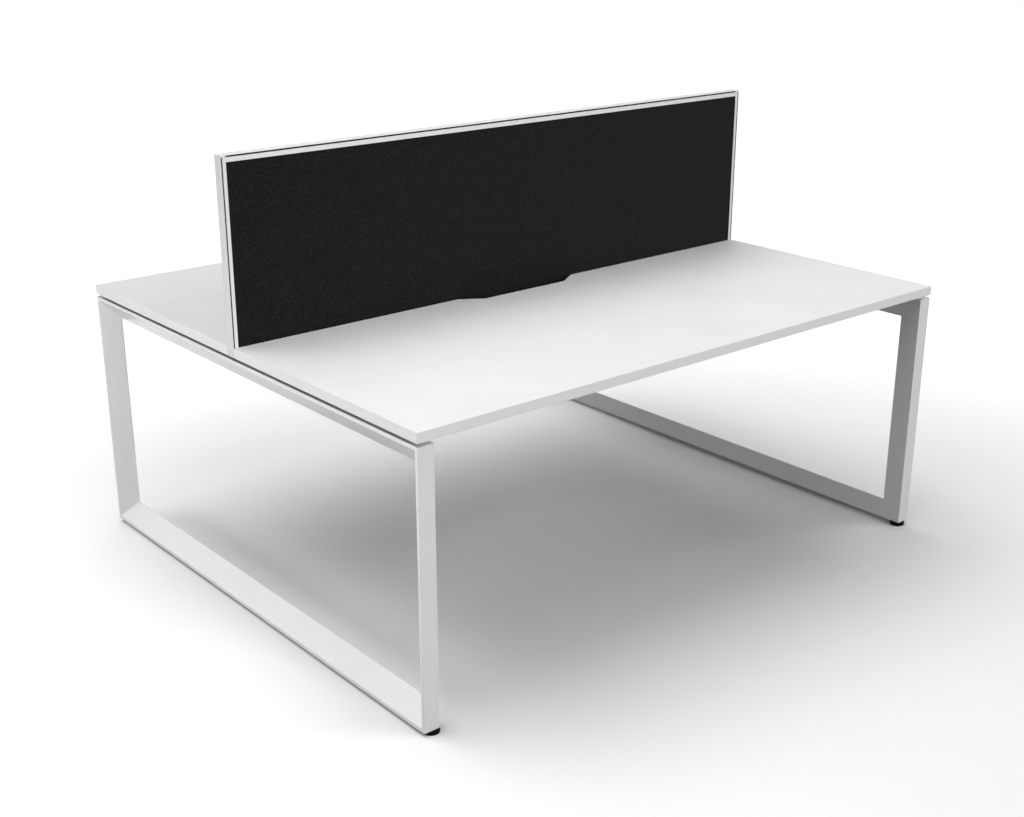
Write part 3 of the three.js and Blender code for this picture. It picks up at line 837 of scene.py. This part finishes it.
def fixingPlaces():
    # bracket bolts on both sides of each beam end, board screws along each beam, plate screws near each
    # bridge end
    bolts, boltAxes, screws, plates = [], [], [], []
    for end in ("front", "rear"):
        for row in ("outer", "inner"):
            low, high = nodeBox(f"{end}_{row}_beam")
            middle = (low + high) / 2
            for side, sign in (("left", -1), ("right", 1)):
                plateLow, plateHigh = nodeBox(f"{end}_{row}_beam_{side}_bracket")
                face = (plateLow[0] if sign < 0 else plateHigh[0]) - sign * bracket["plate"]
                for aside in (-bracketBolt["aside"], bracketBolt["aside"]):
                    bolts.append((face, middle[1] + aside, high[2] - bracketBolt["below"]))
                    boltAxes.append((-sign, 0, 0))
            steps = np.arange(boardScrew["count"]) - (boardScrew["count"] - 1) / 2
            screws += [(step * boardScrew["spacing"], middle[1], low[2]) for step in steps]
    for side in ("left", "right"):
        low, high = nodeBox(f"screen_{side}_bridge_plate")
        middle = (low + high) / 2
        for across in (-plateScrew["across"], plateScrew["across"]):
            for along in (-plateScrew["along"], plateScrew["along"]):
                plates.append((middle[0] + across, middle[1] + along, low[2]))
    return bolts, boltAxes, screws, plates


def makeFixings():
    for place in ("left_outer", "left_inner", "right_inner", "right_outer"):
        makeBridgeBolt(place)
    bolts, boltAxes, screws, plates = fixingPlaces()
    down = (0, 0, -1)
    makeFasteners("bracket_button_bolts", headPoints(bracketBolt), bolts, boltAxes)
    makeFasteners("beam_board_screws", headPoints(boardScrew), screws, [down] * len(screws))
    makeFasteners("bridge_board_screws", headPoints(plateScrew), plates, [down] * len(plates))
    return len(bolts) + len(screws) + len(plates)


print("fixings:", makeFixings(), "heads and 4 bolts")

# CAD nodes that keep their own shape.
keptNodes = {"screen_core_panel": "fibreBoard"}
keptNodes.update({f"{corner}_foot_nut": "zinc" for corner in footCorners})
for name, finish in keptNodes.items():
    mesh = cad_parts[name].data
    mesh.materials.clear()
    mesh.materials.append(finishes[finish][0])
print("kept CAD nodes:", len(keptNodes))

# White paper as the floor, which turns pure white between a near and a far distance from a middle: its own
# colour is what the eye sees, the bounce is the colour by which it lights the desk.
studio = {
    "floor": "#f9f9f9", "bounce": "#383838", "size": 60, "lift": 0.34, "near": 1.4, "far": 3.0,
    "middle": (-0.1, -0.9, 0),
}
# Wide soft lamps: the bearing (from +X towards +Y) and height that each shines from, in degrees.
softLamps = {
    "key_light": {"bearing": 125, "height": 60, "spread": 30, "energy": 0.44},
    "ceiling_light": {"bearing": 79, "height": 70, "spread": 58, "energy": 1.45},
    "fill_light": {"bearing": 312, "height": 12, "spread": 50, "energy": 3.05},
}
# Lit panels, with their turns about Y: one along the left side, a low strip near the left end and one
# above the near left corner.
litPanels = {
    "side_panel": {"place": (-5, 2.0, 0.9), "turn": -90, "size": (1.6, 3.1), "power": 39},
    "low_strip": {"place": (-2.3, -0.2, 0.62), "turn": -95, "size": (0.3, 3.2), "power": 17.6},
    "corner_panel": {"place": (-1.8, -1.2, 3.5), "turn": 0, "size": (2.6, 2), "power": 30},
}


def seenDirectly(tree):
    # 1 for what the eye sees straight on, in a gloss or through something clear; 0 for light that bounces
    path = addNode(tree, "ShaderNodeLightPath", {})
    mirror = addNode(tree, "ShaderNodeMath", {
        0: path.outputs["Is Camera Ray"], 1: path.outputs["Is Glossy Ray"]}, operation="MAXIMUM")
    seen = addNode(tree, "ShaderNodeMath", {
        0: mirror.outputs[0], 1: path.outputs["Is Transmission Ray"]}, operation="MAXIMUM")
    return seen.outputs[0]


def paintRoom():
    # a white room that is seen, also in gloss, but gives no light of its own
    world = bpy.data.worlds.new("white_room")
    scene.world = world
    world.use_nodes = True
    tree = world.node_tree
    tree.nodes.clear()
    room = addNode(tree, "ShaderNodeBackground", {"Color": (1, 1, 1, 1), "Strength": seenDirectly(tree)})
    addNode(tree, "ShaderNodeOutputWorld", {"Surface": room.outputs["Background"]})


def hangLights():
    for name, look in softLamps.items():
        lamp = bpy.data.objects.new(name, bpy.data.lights.new(name, "SUN"))
        lamp.data.energy = look["energy"]
        lamp.data.angle = math.radians(look["spread"])
        lamp.rotation_euler = (math.radians(90 - look["height"]), 0, math.radians(look["bearing"] + 90))
        scene.collection.objects.link(lamp)
    for name, look in litPanels.items():
        panel = bpy.data.objects.new(name, bpy.data.lights.new(name, "AREA"))
        panel.data.shape = "RECTANGLE"
        panel.data.size, panel.data.size_y = look["size"]
        panel.data.energy = look["power"]
        panel.location = look["place"]
        panel.rotation_euler = (0, math.radians(look["turn"]), 0)
        panel.visible_glossy = False
        panel.visible_camera = False
        scene.collection.objects.link(panel)


def layFloor():
    # seamless white paper: it takes the shadow, and the eye sees it lifted to white away from the desk;
    # from below it is clear
    half = studio["size"] / 2
    mesh = bpy.data.meshes.new("studio_floor")
    corners = [(-half, -half, 0), (half, -half, 0), (half, half, 0), (-half, half, 0)]
    mesh.from_pydata(corners, [], [(0, 1, 2, 3)])
    floor = bpy.data.objects.new("studio_floor", mesh)
    scene.collection.objects.link(floor)
    material, tree, place = newMaterial("white_paper")
    seen = seenDirectly(tree)
    side = addNode(tree, "ShaderNodeNewGeometry", {})
    colour = mixColours(tree, seen, studio["bounce"], studio["floor"])
    paper = addNode(tree, "ShaderNodeBsdfDiffuse", {"Color": colour})
    away = addNode(tree, "ShaderNodeVectorMath", {0: place, 1: studio["middle"]}, operation="DISTANCE")
    fade = addNode(tree, "ShaderNodeMapRange", {
        "Value": away.outputs["Value"], "From Min": studio["near"], "From Max": studio["far"],
        "To Max": studio["lift"]}, interpolation_type="SMOOTHSTEP")
    lift = addNode(tree, "ShaderNodeMath", {0: seen, 1: fade.outputs["Result"]}, operation="MULTIPLY")
    glow = addNode(tree, "ShaderNodeEmission", {"Strength": lift.outputs[0]})
    lifted = addNode(tree, "ShaderNodeAddShader", {0: paper.outputs[0], 1: glow.outputs[0]})
    clear = addNode(tree, "ShaderNodeBsdfTransparent", {})
    either = addNode(tree, "ShaderNodeMixShader", {
        0: side.outputs["Backfacing"], 1: lifted.outputs[0], 2: clear.outputs[0]})
    addNode(tree, "ShaderNodeOutputMaterial", {"Surface": either.outputs[0]})
    mesh.materials.append(material)


paintRoom()
hangLights()
layFloor()
print("studio: lit")
